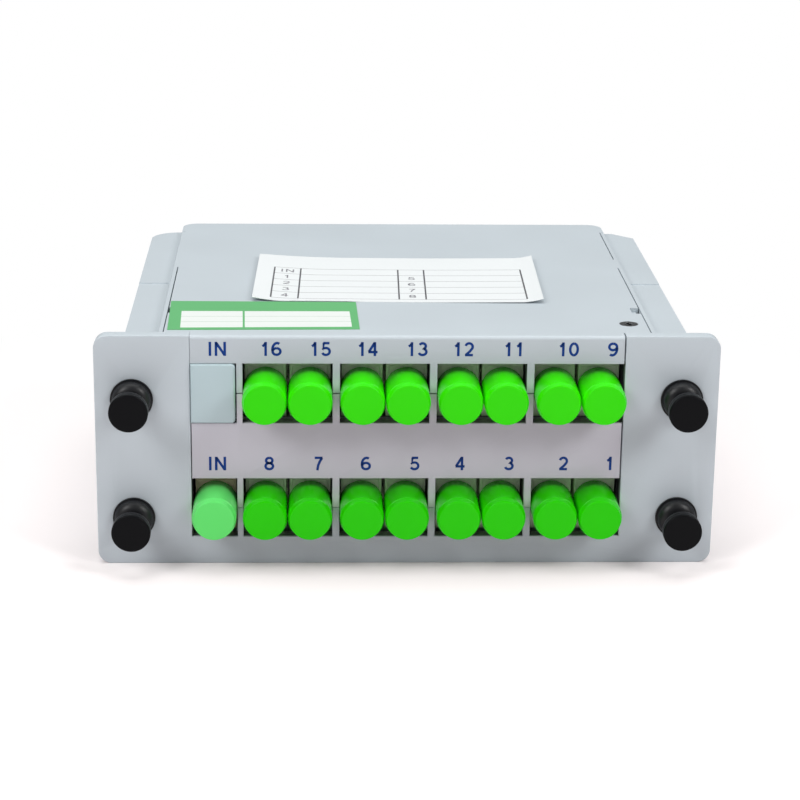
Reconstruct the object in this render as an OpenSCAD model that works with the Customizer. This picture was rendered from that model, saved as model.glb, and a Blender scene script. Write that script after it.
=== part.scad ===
/* [Front panel] */
// Thickness of the front panel and its two ears
ear_t = 3; // [2.4:0.1:4]
// How far each ear stands out past the side wall of the tray
ear_w = 13.35; // [12.5:0.05:18]
// Corner radius of the front panel
ear_corner_r = 2.8; // [0.6:0.1:4]
// Height of the sill below the lower row of ports
sill_h = 6; // [5:0.1:9]
// Height of the bar between the two rows of ports
bar_h = 12.2; // [9:0.1:16]
// Height of the cover's lip above the upper row of ports
lip_h = 5.9; // [5:0.1:8]
// From the ends of the port bank to the edges of the panel's opening
bank_gap = 0.25; // [0.15:0.05:0.4]
// Gap at the left end of the lip
lip_gap = 0.05; // [0.03:0.01:0.2]
// Gap at the left end of the bar
bar_gap = 0.2; // [0.05:0.05:0.3]
// Gap at the right end of the bar and the lip
gap_right = 0.3; // [0.1:0.05:0.6]

/* [Ports] */
// Width of one port place
port_w = 9.35; // [9:0.05:11]
// Height of one port place
port_h = 12.95; // [12:0.05:14.5]
// Wall between two pairs of ports
web_t = 1.5; // [1.2:0.1:3]
// Wall between the input port and the first pair
in_web_t = 1.25; // [1:0.05:3]
// How far the adapter faces lie behind the panel face
port_recess = 5; // [4:0.1:7]
// How far the walls between the ports reach back
web_d = 13; // [10:0.5:16]
// Seam where the walls of the cover meet those of the bar
seam_upper = 0.25; // [0.1:0.05:0.4]
// Seam where the walls of the tray meet those of the bar
seam_lower = 0.06; // [0.05:0.01:0.3]

/* [Tray] */
// Depth of the whole case from the panel face to the back edge
case_d = 102.6; // [98:0.1:130]
// From the end of the port bank to the outside of the side wall
side_room = 6.7; // [6.4:0.05:9]
// Thickness of the tray's side and back walls
wall_t = 2; // [1.6:0.1:2.3]
// Thickness of the tray's floor
floor_t = 2; // [1.5:0.1:3]
// Width of the rim that stands beside the cover
rim_t = 0.8; // [0.6:0.05:1.2]
// Where the rim ends, measured from the back edge
rim_end_gap = 8.4; // [7:0.1:12]
// Radius of the case's two back corners
back_r = 3.6; // [2.6:0.1:5]

/* [Guide wings] */
// Width of each guide wing beyond the side wall
wing_w = 7.25; // [5:0.05:9]
// Thickness of each guide wing
wing_t = 2; // [1.5:0.1:3]
// Depth of the upper wing's face below the top of the case
wing_drop = 1.2; // [1:0.1:2.5]
// Pitch of the two chassis slots that the wings run in
slot_pitch = 25; // [22:0.1:28]
// From the end of the wings to the back edge of the case
wing_end_gap = 4.6; // [2:0.1:10]
// Rounding of the left wings' back corner
wing_round_r = 6.4; // [3:0.1:6.6]
// Length along the slot of the right wings' slanting corner
wing_slant = 4.8; // [3:0.1:7]
// Fillet between a wing and the wall or the ear
wing_fillet = 0.9; // [0.5:0.1:0.95]
// Flare where a wing meets the back of the ear
wing_flare = 2.2; // [1:0.1:2.8]
// Height of the small step half way along the wings
wing_step = 0.15; // [0.05:0.05:0.4]
// From the panel face to that step
wing_step_y = 48.2; // [30:0.1:70]

/* [Cover] */
// Thickness of the cover plate
cover_t = 2.2; // [1.8:0.1:2.6]
// Gap between the cover and the tray's rim
cover_gap = 0.25; // [0.05:0.01:0.3]
// Rounding of the lip's upper front edge
lip_edge_r = 0.8; // [0.3:0.1:1.5]
// Width across the cover of the latch windows
window_w = 1.85; // [1.4:0.05:2.2]
// Length of the latch windows
window_l = 4.6; // [3:0.1:6]
// From the panel face to the latch windows
window_y = 18.2; // [17:0.1:22]
// Length of the stretch where the cover closes its right gap
bridge_l = 8.2; // [4:0.1:15]
// From the panel face to that stretch and to the closed left gap
bridge_y = 58.5; // [45:0.1:70]
// Depth of the skirt that stiffens the cover
skirt_h = 4; // [2:0.1:8]
// Thickness of that skirt
skirt_t = 1.4; // [1:0.1:1.8]

/* [Cover screws] */
// Radius of the screw heads
screw_head_r = 1.98; // [1.8:0.02:2.2]
// Depth of the countersunk heads
screw_head_h = 1.1; // [0.8:0.05:1.3]
// Radius of the screw shanks
screw_r = 1.2; // [1:0.05:1.3]
// Length of the screws
screw_l = 12; // [8:0.5:16]
// From the side wall's outside to the screw
screw_inset = 4.75; // [4.6:0.05:4.9]
// From the panel face to the screw
screw_y = 10; // [9:0.1:12]

/* [Port adapters] */
// Length of an adapter
adapter_d = 24; // [22:0.1:27]
// Play of an adapter in its place, on each side
adapter_play = 0.05; // [0.03:0.01:0.1]
// From an adapter's side to the edge of its place
adapter_side = 0.38; // [0.2:0.02:0.5]
// Width of the socket inside an adapter
socket_w = 7.4; // [7.2:0.05:7.8]
// Height of the socket inside an adapter
socket_h = 9; // [8.6:0.1:10]
// Depth of the socket
socket_d = 11; // [10:0.1:11.8]
// Width of the key slot in an adapter's side wall
key_w = 2.2; // [1.4:0.1:2.8]
// Height of the collar's ribs above and below an adapter
rib_h = 0.8; // [0.5:0.05:1]
// Thickness of that collar
rib_t = 2; // [1.2:0.1:3]
// From the adapter's face to its collar
rib_y = 7; // [4:0.1:9]
// Outer radius of the barrel that holds the alignment sleeve
barrel_r = 2.35; // [2.2:0.05:2.4]
// Length of the barrel on each side of the middle wall
barrel_l = 7; // [5:0.1:8.5]
// Outer radius of the alignment sleeve
sleeve_r = 1.62; // [1.5:0.02:1.7]
// Wall of the alignment sleeve
sleeve_wall = 0.34; // [0.2:0.02:0.4]

/* [Dust caps] */
// Radius of a dust cap
cap_r = 4.53; // [4:0.01:4.6]
// How far a dust cap stands out of the panel face
cap_proud = 7.8; // [5:0.1:12]
// Rounding of a cap's front edge
cap_edge_r = 0.6; // [0.2:0.1:1.2]
// Outer radius of the stem that plugs into the socket
stem_r = 3.5; // [3.2:0.05:3.55]
// Length of that stem
stem_l = 8.5; // [6:0.1:9.5]
// Gap between the stem's bore and the barrel
stem_gap = 0.2; // [0.1:0.05:0.3]
// Gap between a seated cap and the adapter's face
cap_seat = 0.1; // [0.05:0.05:0.3]
// Thickness of a cap's front wall
cap_front_t = 1.6; // [1:0.1:2.5]

/* [Push fasteners] */
// From the side wall's outside to the fastener
fastener_out = 5.65; // [5.2:0.05:7.5]
// Height of the lower fastener
fastener_z = 10.3; // [9:0.1:15]
// Height from the lower to the upper fastener
fastener_pitch = 26; // [22:0.1:28]
// Radius of the grommet's flange
flange_r = 4.45; // [4:0.05:4.9]
// Thickness of the flange's rim
flange_t = 0.5; // [0.3:0.05:1]
// Height of the dome on the flange
dome_h = 2.1; // [1.5:0.1:2.8]
// Radius of the grommet's shank in the ear
shank_r = 3.4; // [3.3:0.05:3.8]
// Outer radius of the grommet's split legs
leg_r = 3.1; // [2.8:0.05:3.3]
// How far the legs reach behind the ear
leg_l = 8.5; // [6:0.1:11]
// Width of the slots between the legs
leg_slot = 0.7; // [0.4:0.1:1]
// Radius of the plunger's pin
pin_r = 1.5; // [1.2:0.05:1.7]
// Running clearance of the pin in the grommet
pin_gap = 0.08; // [0.05:0.01:0.1]
// Radius of the plunger's knob
knob_r = 4.05; // [3.5:0.05:4.5]
// Thickness of the knob
knob_t = 2.5; // [1.8:0.1:3.5]
// Rounding of the knob's edges
knob_edge_r = 0.4; // [0.2:0.1:0.8]
// How far the pulled plunger stands out of the panel face
knob_out = 10; // [8.5:0.1:13]

/* [Labels] */
// Thickness of the labels
label_t = 0.12; // [0.08:0.01:0.3]
// Width of the white paper label
paper_w = 64.1; // [50:0.1:80]
// Length of the white paper label
paper_l = 39.5; // [30:0.1:50]
// Width of the green label
green_w = 40; // [30:0.1:45]
// Length of the green label
green_l = 21.2; // [15:0.1:24]

/* [Fibre parts] */
// Length of the rear plugs
plug_l = 21; // [18:0.5:23]
// Length of the strain relief boots
boot_l = 10; // [6:0.5:12]
// Radius of the jacketed fibres
fibre_r = 0.45; // [0.3:0.05:0.6]
// Length of the splitter chip's steel tube
chip_l = 50; // [40:1:54]
// Width of the steel tube
chip_w = 7; // [5:0.1:8]
// Height of the steel tube
chip_h = 4; // [3:0.1:5]
// Width of the fan-out block
block_w = 14; // [12:0.5:20]
// Length of the fan-out block
block_l = 12; // [8:0.5:14]
// Height of the fan-out block
block_h = 6; // [5:0.5:8]

/* [Hidden] */
PAIRS = 4;
COLUMNS = 2 * PAIRS;
OUTPUTS = 2 * COLUMNS;
$fn = 40;

// One overrun serves all cuts, and one small fit serves flat faces
cut = 0.5;
fit = 0.05;

// Colours of the real pieces
shell_grey = [0.80, 0.84, 0.86];
adapter_grey = [0.74, 0.78, 0.76];
input_beige = [0.60, 0.59, 0.51];
cap_green = [0.23, 0.82, 0.10];
label_green = [0.45, 0.77, 0.51];
input_green = [0.42, 0.86, 0.47];
fastener_black = [0.10, 0.10, 0.11];
plug_green = [0.18, 0.55, 0.24];
jacket_white = [0.92, 0.92, 0.90];

// Small sizes of the moulded inside
rail_t = 1.5;
rail_gap = 0.1;
plate_t = 2;
shelf_rest = 2.6;
rest_t = 1.6;
screw_post_l = 6;
screw_play = 0.1;
screw_bite = 0.05;
latch_t = 1.25;
latch_low = 8;
latch_sink = 0.9;
latch_play = 0.1;
small_r = 0.2;
hole_play = 0.05;

// Grommets and plungers
flange_edge = 0.35;
leg_root = 1;
pin_reach = 4.5;

// Cross recess of the screws
recess_l = 2.2;
recess_w = 0.6;
recess_d = 0.7;
recess_turn = 20;

// Play and walls of the smaller pieces
shelf_play = 0.15;
skirt_play = 0.2;
sleeve_play = 0.03;
sleeve_half = 5.7;
blank_play = 0.1;
blank_shift = 0.2;
blank_proud = 0.5;
blank_r = 0.8;
blank_wall = 1.2;

// Rear plugs, ferrules and boots
ferrule_r = 1.25;
ferrule_grip = 16;
plug_play = 0.1;
plug_edge_r = 0.5;
boot_r = 2.4;
boot_tip_r = 1.1;

// Chip, fan-out block and fibres behind the plugs
ribbon_lift = 1;
clip_l = 8;
tube_wall = 0.4;
tube_edge_r = 0.7;
block_edge_r = 1;
fan_pitch = 1.3;
clip_end_gap = 1;
outlet_shares = [0.47, 0.68];
ribbon_half_w = 0.6;
ribbon_half_h = 0.6;
ribbon_reach = 44;
FAN_STEPS = 12;
INPUT_STEPS = 5;
RIBBON_STEPS = 3;
FIBRE_SIDES = 8;

// Middle of the chip and front of the block, as shares of the room behind the boots
room_shares = [0.233, 0.466];

// Back of the ribbon's loop, as a share of the room behind the block
loop_share = 0.61;

// Route of the input fibre, as shares of the way from its boot to the chip
input_shares = [[0, 0, 0], [0, 0.35, 0.03], [0.2, 0.8, 0.5], [0.6, 1, 0.95], [1, 1, 1]];

// Route of the ribbon's loop, as shares of its reach to the right and to the back
ribbon_shares = [[0.70, 0], [0.90, 0.12], [1, 0.36], [0.95, 0.74], [0.75, 0.93], [0.32, 1],
    [0.09, 0.93], [0.015, 0.83]];

// Places and turns of the labels
paper_x = -0.53;
paper_turn = -1.25;
green_x = -30.2;
green_start = 6.1;
green_turn = 0.3;
label_gap = 0.3;

// The ear's back face is y = 0, and the underside is z = 0
front_y = -ear_t;
back_y = case_d - ear_t;
bank_w = (2 * PAIRS + 1) * port_w + in_web_t + (PAIRS - 1) * web_t;
bank_x = bank_w / 2;
opening_x = bank_x + bank_gap;
body_x = bank_x + side_room;
panel_x = body_x + ear_w;
inner_x = body_x - wall_t;
low_z = sill_h + port_h / 2;
high_z = sill_h + port_h + bar_h + port_h / 2;
bar_z = sill_h + port_h;
bar_top = bar_z + bar_h;
lip_z = bar_top + port_h;
panel_h = lip_z + lip_h;
ledge_z = panel_h - cover_t;
rim_end = back_y - rim_end_gap;
cover_x = body_x - rim_t - cover_gap;

// Places of the ports: column 0 is the input, then the pairs
function column_x(k) = -bank_x + port_w / 2
    + (k == 0 ? 0 : in_web_t + k * port_w + floor((k - 1) / 2) * web_t);
function web_x(j) = column_x(2 * j) + port_w / 2 + (j == 0 ? in_web_t : web_t) / 2;
function web_width(j) = j == 0 ? in_web_t : web_t;
function out_column(n) = n > COLUMNS ? OUTPUTS + 1 - n : COLUMNS + 1 - n;
function out_z(n) = n > COLUMNS ? high_z : low_z;

// Lengthwise places inside the case
face_y = front_y + port_recess;
mid_y = face_y + adapter_d / 2;
adapter_end = face_y + adapter_d;
rib_front = face_y + rib_y;
shelf_d = adapter_end + rail_t;
web_end = front_y + web_d;
plug_front = adapter_end - socket_d + cap_seat;
plug_end = plug_front + plug_l;
boot_end = plug_end + boot_l;
screw_post_end = screw_y + front_y + screw_post_l / 2;
rest_start = screw_post_end + rest_t;
back_room = back_y - wall_t - boot_end;
chip_y = boot_end + back_room * room_shares[0];
chip_z = floor_t + chip_h / 2;
block_y = boot_end + back_room * room_shares[1];
block_end = block_y + block_l;
ribbon_z = floor_t + ribbon_lift;

// Middles of the labels: the white one lies behind the green one
green_y = front_y + green_start + green_l / 2;
paper_y = front_y + green_start + green_l + label_gap + paper_l / 2;

// Places of the screws and of the fasteners: left low, left high, right low, right high
screw_x = body_x - screw_inset;
fastener_x = body_x + fastener_out;
fastener_xs = [-fastener_x, fastener_x];
fastener_zs = [fastener_z, fastener_z + fastener_pitch];
function fastener_place(n) = [fastener_xs[n > 2 ? 1 : 0], 0, fastener_zs[(n - 1) % 2]];

// Plan of the case, with its sides and back drawn in by a wall
module case_plan(inset) {
    half_w = body_x - inset;
    end_y = back_y - inset;
    r = max(back_r - inset, small_r);
    translate([-half_w, 0]) square([2 * half_w, end_y - r]);
    translate([r - half_w, 0]) square([2 * (half_w - r), end_y]);
    for (s = [-1, 1]) translate([s * (half_w - r), end_y - r]) circle(r);
}

// A cross-section drawn in X and Z, run along Y from one place to another
module run_y(from, to) {
    translate([0, to, 0]) rotate([90, 0, 0]) linear_extrude(to - from) children();
}

// A cross-section drawn in Y and Z, run along X
module run_x(from, to) {
    translate([from, 0, 0]) rotate([90, 0, 90]) linear_extrude(to - from) children();
}

// A profile of radius and reach, turned about an axis along Y
module turn_y() {
    rotate([-90, 0, 0]) rotate_extrude() children();
}

// A box between two corners
module block(low, high) {
    translate(low) cube(high - low);
}

// Rectangle with four round corners about its middle
module round_rect(w, h, r) {
    square([w - 2 * r, h], center = true);
    square([w, h - 2 * r], center = true);
    for (x = [-1, 1], z = [-1, 1]) translate([x * (w / 2 - r), z * (h / 2 - r)]) circle(r);
}

// Three saddle rails across the bank, with a groove between two for the ribs
module saddle_rails(low_z, high_z) {
    back_rail = adapter_end - rail_t;
    for (y = [rib_front - rail_gap - rail_t, rib_front + rib_t + rail_gap, back_rail]) {
        block([-bank_x, y, low_z], [bank_x, y + rail_t, high_z]);
    }
}

// Walls between the ports, from one height to another
module port_webs(low_z, high_z, from_y) {
    for (j = [0:PAIRS - 1]) {
        half = web_width(j) / 2;
        block([web_x(j) - half, from_y, low_z], [web_x(j) + half, web_end, high_z]);
    }
}

// Panel plate with round corners, open where the ports are
module panel_plate() {
    run_y(front_y, 0) difference() {
        translate([0, panel_h / 2]) round_rect(2 * panel_x, panel_h, ear_corner_r);
        translate([-opening_x, sill_h]) square([2 * opening_x, panel_h]);
    }
}

// Floor, walls and the two rims of the tray
module tray_shell() {
    linear_extrude(floor_t) case_plan(0);
    linear_extrude(ledge_z) difference() {
        case_plan(0);
        case_plan(wall_t);
        translate([-inner_x, -cut]) square([2 * inner_x, wall_t + cut]);
    }
    for (s = [-1, 1]) {
        x = s * (body_x - rim_t / 2);
        block([x - rim_t / 2, 0, 0], [x + rim_t / 2, rim_end - cover_gap, panel_h]);
    }
}

// Plan of one guide wing on the right, with its own back corner
module wing_plan(slanted) {
    out = body_x + wing_w;
    wing_end = back_y - wing_end_gap;
    difference() {
        union() {
            translate([body_x - rim_t / 2, 0]) square([wing_w + rim_t / 2, wing_end]);
            translate([out, 0]) square(wing_flare);
        }
        translate([out + wing_flare, wing_flare]) circle(wing_flare);
        if (slanted) {
            slant_x = out - wing_slant;
            polygon([[slant_x, wing_end], [out, wing_end - wing_slant], [out, wing_end]]);
        }
        if (!slanted) {
            translate([out - wing_round_r, wing_end - wing_round_r]) difference() {
                square(wing_round_r);
                circle(wing_round_r);
            }
        }
    }
}

// One guide wing with the fillet at its root and the small step
module guide_wing(top_z, slanted) {
    wing_end = back_y - wing_end_gap;
    root_end = top_z > ledge_z ? rim_end - cover_gap : wing_end;
    translate([0, 0, top_z - wing_t]) difference() {
        linear_extrude(wing_t) wing_plan(slanted);
        step_y = wing_step_y + front_y;
        far_x = body_x + wing_w + wing_flare;
        block([body_x, -cut, wing_t - wing_step], [far_x, step_y, wing_t + cut]);
    }
    run_y(0, root_end) translate([body_x, top_z - wing_step]) difference() {
        translate([-rim_t / 2, 0]) square([rim_t / 2 + wing_fillet, wing_fillet]);
        translate([wing_fillet, wing_fillet]) circle(wing_fillet);
    }
}

module guide_wings() {
    top_z = panel_h - wing_drop;
    for (z = [top_z, top_z - slot_pitch]) {
        guide_wing(z, true);
        mirror([1, 0, 0]) guide_wing(z, false);
    }
}

// Posts for the cover's screws, ledges for the shelf and tongues for the latches
module side_fittings() {
    post_y = screw_y + front_y;
    tongue_x = cover_x - window_w + latch_play;
    tongue_y = window_y + front_y + latch_play;
    for (s = [0, 1]) mirror([s, 0, 0]) {
        block([opening_x, post_y - screw_post_l / 2, 0],
            [inner_x + fit, screw_post_end, ledge_z]);
        block([inner_x - shelf_rest, rest_start, bar_z - rest_t],
            [inner_x + fit, shelf_d, bar_z]);
        block([tongue_x, tongue_y, ledge_z - latch_low],
            [tongue_x + latch_t, tongue_y + window_l - 2 * latch_play, panel_h - latch_sink]);
    }
}

// Walls on the floor that hold the chip's tube and the fan-out block
module floor_clips() {
    for (y = [chip_y - chip_w / 2 - rail_t - fit, chip_y + chip_w / 2 + fit]) {
        for (s = [0, 1]) mirror([s, 0, 0]) {
            end_x = chip_l / 2 - clip_end_gap;
            block([end_x - clip_l, y, 0], [end_x, y + rail_t, floor_t + chip_h + fit]);
        }
    }
    for (x = [-block_w / 2 - rail_t - fit, block_w / 2 + fit]) {
        block([x, block_y, 0], [x + rail_t, block_end, floor_t + block_h / 2]);
    }
}

// The tray: floor, walls, panel, wings and seats, moulded in one piece
module base() {
    color(shell_grey) difference() {
        union() {
            tray_shell();
            panel_plate();
            guide_wings();
            side_fittings();
            floor_clips();
            saddle_rails(0, sill_h);
            port_webs(0, low_z - seam_lower / 2, front_y);
        }
        block([-body_x, rim_end - cover_gap, ledge_z], [body_x, back_y, panel_h]);
        for (x = fastener_xs, z = fastener_zs) {
            translate([x, 0, z]) rotate([90, 0, 0])
                cylinder(r = shank_r + hole_play, h = 4 * ear_t, center = true);
        }
        for (s = [-1, 1]) {
            translate([s * screw_x, screw_y + front_y, ledge_z - screw_l])
                cylinder(r = screw_r + screw_bite, h = screw_l + cut);
        }
    }
}

// Plan of the cover: its lip, its plate, the closed stretches and the back flange
module cover_plan() {
    translate([lip_gap - opening_x, front_y])
        square([2 * opening_x - lip_gap - gap_right, ear_t + cut]);
    translate([-cover_x, 0]) square([2 * cover_x, rim_end + cut]);
    translate([cover_x, bridge_y + front_y]) square([cover_gap, bridge_l]);
    translate([-cover_x - cover_gap, bridge_y + front_y])
        square([cover_gap + fit, rim_end + cut - bridge_y - front_y]);
    intersection() {
        case_plan(0);
        translate([-body_x, rim_end]) square([2 * body_x, back_y]);
    }
}

// The front lip with its rounded upper edge
module cover_lip() {
    run_x(lip_gap - opening_x, opening_x - gap_right) {
        translate([front_y, lip_z]) square([ear_t + cut, lip_h - lip_edge_r]);
        translate([front_y + lip_edge_r, lip_z]) square([ear_t + cut - lip_edge_r, lip_h]);
        translate([front_y + lip_edge_r, panel_h - lip_edge_r]) circle(lip_edge_r);
    }
}

// Skirts below the plate, just inside the side and back walls
module cover_skirts() {
    side_start = window_y + window_l + rest_t;
    corner = back_y - wall_t - back_r;
    for (s = [0, 1]) mirror([s, 0, 0]) {
        out = inner_x - skirt_play;
        block([out - skirt_t, side_start, ledge_z - skirt_h], [out, corner, ledge_z + fit]);
    }
    out = back_y - wall_t - skirt_play;
    x = inner_x - back_r;
    block([-x, out - skirt_t, ledge_z - skirt_h], [x, out, ledge_z + fit]);
}

// The cover: plate, lip, upper walls between the ports, and saddle rails
module top_cover() {
    color(shell_grey) difference() {
        union() {
            difference() {
                translate([0, 0, ledge_z]) linear_extrude(cover_t) cover_plan();
                block([-panel_x, front_y - cut, ledge_z - cut],
                    [panel_x, front_y + lip_edge_r, panel_h + cut]);
            }
            cover_lip();
            cover_skirts();
            saddle_rails(lip_z, ledge_z + fit);
            port_webs(high_z + seam_upper / 2, ledge_z + fit, 0);
            port_webs(high_z + seam_upper / 2, lip_z + fit, front_y);
        }
        for (s = [-1, 1]) {
            translate([s * screw_x, screw_y + front_y, ledge_z - cut])
                cylinder(r = screw_r + screw_play, h = cover_t + 2 * cut);
            translate([s * screw_x, screw_y + front_y, panel_h - screw_head_h])
                cylinder(r1 = screw_r + fit, r2 = screw_head_r + fit, h = screw_head_h);
        }
        for (s = [0, 1]) mirror([s, 0, 0]) {
            block([cover_x - window_w, window_y + front_y, ledge_z - cut],
                [body_x, window_y + front_y + window_l, panel_h + cut]);
        }
    }
}

// The shelf between the rows: front bar, two grooved plates and their webs
module mid_shelf() {
    low = bar_z;
    high = bar_top;
    color(shell_grey) difference() {
        union() {
            block([bar_gap - opening_x, front_y, low], [opening_x - gap_right, 0, high]);
            block([fit - bank_x, 0, low], [bank_x - fit, shelf_d, low + plate_t]);
            block([fit - bank_x, face_y, high - plate_t], [bank_x - fit, shelf_d, high]);
            port_webs(low_z + seam_lower / 2, high_z - seam_upper / 2, front_y);
            for (j = [0:PAIRS - 1]) {
                half = web_width(j) / 2;
                block([web_x(j) - half, 0, low], [web_x(j) + half, shelf_d, high]);
            }
            block([-inner_x + shelf_play, rest_start, low],
                [inner_x - shelf_play, shelf_d, low + plate_t]);
        }
        groove = rib_h + rail_gap;
        groove_end = rib_front + rib_t + rail_gap;
        for (z = [low - cut, high - groove]) {
            for (k = [0:COLUMNS]) {
                half = port_w / 2;
                block([column_x(k) - half, rib_front - rail_gap, z],
                    [column_x(k) + half, groove_end, z + groove + cut]);
            }
        }
    }
}

// The blank that closes the unused place above the input, with its two saddle ribs
module blank_plug() {
    w = port_w - 2 * adapter_play;
    h = port_h - 2 * blank_play;
    color(shell_grey) translate([column_x(0) - blank_shift, 0, high_z]) difference() {
        union() {
            run_y(front_y - blank_proud, rib_front + rib_t) difference() {
                square([w, h], center = true);
                for (s = [-1, 1]) translate([w / 2 - blank_r, s * (h / 2 - blank_r)]) {
                    difference() {
                        translate([0, s > 0 ? 0 : -blank_r]) square(blank_r);
                        circle(blank_r);
                    }
                }
            }
            for (z = [-h / 2 - rib_h, h / 2 - fit]) {
                block([-w / 2, rib_front, z], [w / 2, rib_front + rib_t, z + rib_h + fit]);
            }
        }
        block([-w / 2 + blank_wall, front_y + blank_wall, -h / 2 + blank_wall],
            [w / 2 - blank_wall, adapter_end, h / 2 - blank_wall]);
    }
}

// Countersunk cross-head screws through the cover into the tray's posts
module cover_screws() {
    shank = screw_l - screw_head_h - cut;
    color(fastener_black) for (s = [-1, 1]) {
        translate([s * screw_x, screw_y + front_y, panel_h]) difference() {
            union() {
                translate([0, 0, -screw_head_h])
                    cylinder(r1 = screw_r, r2 = screw_head_r, h = screw_head_h);
                translate([0, 0, -screw_head_h - shank]) cylinder(r = screw_r, h = shank + fit);
            }
            for (a = [0, 90]) rotate([0, 0, a + recess_turn]) {
                block([-recess_l / 2, -recess_w / 2, -recess_d], [recess_l / 2, recess_w / 2, cut]);
            }
        }
    }
}

// One adapter about its own axis: body, two sockets, key slots, collar and barrel
module adapter() {
    w = port_w - 2 * adapter_side;
    h = port_h - 2 * adapter_play;
    collar_w = port_w - 2 * adapter_play;
    difference() {
        union() {
            difference() {
                block([-w / 2, face_y, -h / 2], [w / 2, adapter_end, h / 2]);
                for (ends = [[face_y - cut, face_y + socket_d],
                    [adapter_end - socket_d, adapter_end + cut]]) {
                    block([-socket_w / 2, ends[0], -socket_h / 2],
                        [socket_w / 2, ends[1], socket_h / 2]);
                    block([0, ends[0], -key_w / 2], [w, ends[1], key_w / 2]);
                }
            }
            run_y(rib_front, rib_front + rib_t) difference() {
                square([collar_w, h + 2 * rib_h], center = true);
                square([w - 2 * fit, h - 2 * fit], center = true);
            }
            run_y(mid_y - barrel_l, mid_y + barrel_l) circle(barrel_r);
        }
        run_y(mid_y - barrel_l - cut, mid_y + barrel_l + cut) circle(sleeve_r + sleeve_play);
    }
}

module output_adapter(n) {
    color(adapter_grey) translate([column_x(out_column(n)), 0, out_z(n)]) adapter();
}

module adapter_in() {
    color(input_beige) translate([column_x(0), 0, low_z]) adapter();
}

// One dust cap: a hollow round head with a tubular stem, turned in one profile
module dust_cap() {
    head_y = front_y - cap_proud;
    seat_y = face_y - cap_seat;
    bore_r = barrel_r + stem_gap;
    turn_y() difference() {
        union() {
            translate([0, head_y + cap_edge_r]) square([cap_r, seat_y - head_y - cap_edge_r]);
            translate([0, head_y]) square([cap_r - cap_edge_r, cap_edge_r + fit]);
            translate([cap_r - cap_edge_r, head_y + cap_edge_r]) circle(cap_edge_r);
            translate([0, seat_y - fit]) square([stem_r, stem_l + fit]);
        }
        bore_y = head_y + cap_front_t;
        translate([0, bore_y]) square([bore_r, seat_y + stem_l + cut - bore_y]);
    }
}

module output_cap(n) {
    color(cap_green) translate([column_x(out_column(n)), 0, out_z(n)]) dust_cap();
}

module cap_in() {
    color(input_green) translate([column_x(0), 0, low_z]) dust_cap();
}

// A domed grommet: its shank sits in the ear, and its split legs stand out behind
module grommet(n) {
    bore_r = pin_r + pin_gap;
    color(fastener_black) translate(fastener_place(n)) difference() {
        turn_y() difference() {
            union() {
                translate([0, front_y - flange_t]) square([flange_r, flange_t]);
                translate([0, front_y - flange_t - dome_h])
                    square([flange_r - flange_edge - dome_h, dome_h + fit]);
                intersection() {
                    translate([flange_r - flange_edge - dome_h, front_y - flange_t]) circle(dome_h);
                    translate([0, front_y - flange_t - dome_h]) square([flange_r, dome_h + fit]);
                }
                translate([0, front_y - fit]) square([shank_r, ear_t + fit]);
                translate([0, -fit]) square([leg_r, leg_l + fit]);
            }
            translate([-cut, front_y - knob_out]) square([bore_r + cut, knob_out + ear_t + 2 * leg_l]);
        }
        for (a = [0, 90]) rotate([0, a, 0]) {
            block([-leg_slot / 2, -leg_root, -flange_r], [leg_slot / 2, leg_l + cut, flange_r]);
        }
    }
}

// The plunger: knob, neck and the pin that spreads the legs
module plunger(n) {
    head_y = front_y - knob_out;
    pin_l = knob_out - knob_t + ear_t + pin_reach;
    color(fastener_black) translate(fastener_place(n)) turn_y() {
        translate([0, head_y]) square([knob_r - knob_edge_r, knob_t]);
        translate([0, head_y + knob_edge_r]) square([knob_r, knob_t - 2 * knob_edge_r]);
        for (y = [head_y + knob_edge_r, head_y + knob_t - knob_edge_r]) {
            translate([knob_r - knob_edge_r, y]) circle(knob_edge_r);
        }
        translate([0, head_y + knob_t - fit]) square([pin_r, pin_l + fit]);
    }
}

// The two labels on the cover
module paper_label() {
    color("white") translate([paper_x, paper_y, panel_h]) rotate([0, 0, paper_turn])
        block([-paper_w / 2, -paper_l / 2, 0], [paper_w / 2, paper_l / 2, label_t]);
}

module green_label() {
    color(label_green) translate([green_x, green_y, panel_h])
        rotate([0, 0, green_turn])
        block([-green_w / 2, -green_l / 2, 0], [green_w / 2, green_l / 2, label_t]);
}

// Puts a fibre part behind each port that is in use
module each_port() {
    translate([column_x(0), 0, low_z]) children();
    for (n = [1:OUTPUTS]) translate([column_x(out_column(n)), 0, out_z(n)]) children();
}

module alignment_sleeves() {
    color("white") each_port() run_y(mid_y - sleeve_half, mid_y + sleeve_half) difference() {
        circle(sleeve_r);
        circle(sleeve_r - sleeve_wall);
    }
}

module ferrules() {
    color("ivory") each_port() run_y(mid_y, plug_front + ferrule_grip) circle(ferrule_r);
}

// Rear plugs: a housing that fills the rear socket round the barrel
module rear_plugs() {
    w = socket_w - 2 * plug_play;
    h = socket_h - 2 * plug_play;
    color(plug_green) each_port() difference() {
        run_y(plug_front, plug_end) round_rect(w, h, plug_edge_r);
        run_y(plug_front - cut, mid_y + barrel_l + stem_gap) circle(barrel_r + stem_gap);
        run_y(plug_front, plug_front + ferrule_grip) circle(ferrule_r);
    }
}

module rear_boots() {
    color(jacket_white) each_port() translate([0, plug_end, 0]) rotate([-90, 0, 0])
        cylinder(r1 = boot_r, r2 = boot_tip_r, h = boot_l);
}

// The steel tube round the splitter chip
module chip_tube() {
    color("silver") difference() {
        translate([0, chip_y, chip_z]) run_x(-chip_l / 2, chip_l / 2)
            round_rect(chip_w, chip_h, tube_edge_r);
        translate([0, chip_y, chip_z]) run_x(-chip_l, chip_l)
            round_rect(chip_w - 2 * tube_wall, chip_h - 2 * tube_wall, tube_edge_r - tube_wall / 2);
    }
}

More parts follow.
